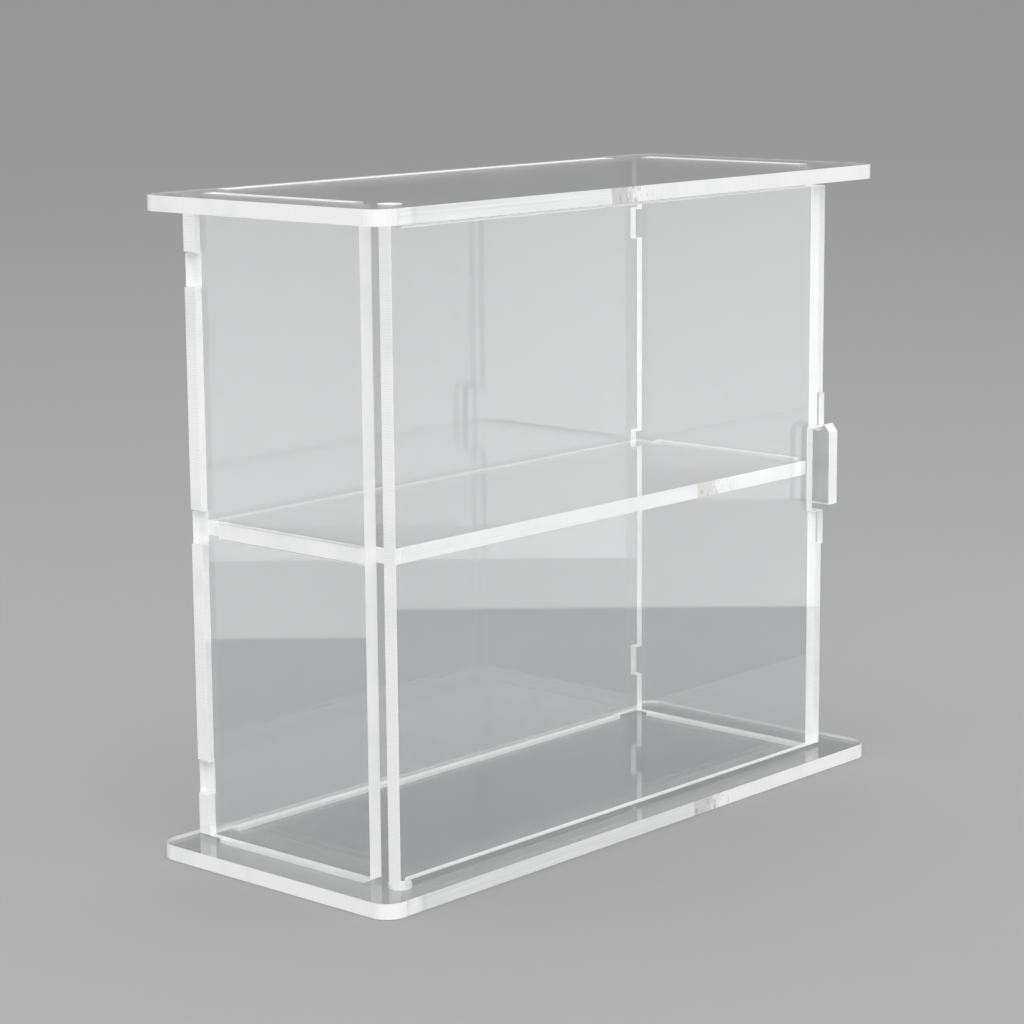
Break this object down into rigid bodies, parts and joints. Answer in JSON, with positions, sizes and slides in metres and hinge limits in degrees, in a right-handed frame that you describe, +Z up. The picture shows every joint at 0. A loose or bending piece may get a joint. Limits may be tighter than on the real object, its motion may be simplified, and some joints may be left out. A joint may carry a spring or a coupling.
{
  "type": "acrylic display case",
  "caption": "Small clear acrylic display case of slotted sheets, with a wide base and top plate, a middle shelf and a pivoting front door that closes over a hook.",
  "frame": {"origin": "middle of the base plate's underside, on the surface that the case stands on", "axes": "+X along the case to the latch end, +Y from the door to the back panel, +Z up"},
  "size_m": [0.151, 0.0626, 0.129],
  "materials": {
    "clear_acrylic": "clear gloss faces with frosted laser-cut edges"
  },
  "bodies": {
    "case": {"base_plate": "clear_acrylic", "top_plate": "clear_acrylic", "left_end_panel": "clear_acrylic", "right_end_panel": "clear_acrylic", "back_panel": "clear_acrylic", "shelf": "clear_acrylic"},
    "door": {"door_panel": "clear_acrylic"}
  },
  "joints": [
    {"name": "door_swing", "type": "hinge", "parent": "case", "child": "door", "pos_m": [-0.0638, -0.023, 0.0645], "axis": [0, 0, -1], "range_deg": [0, 225]}
  ]
}
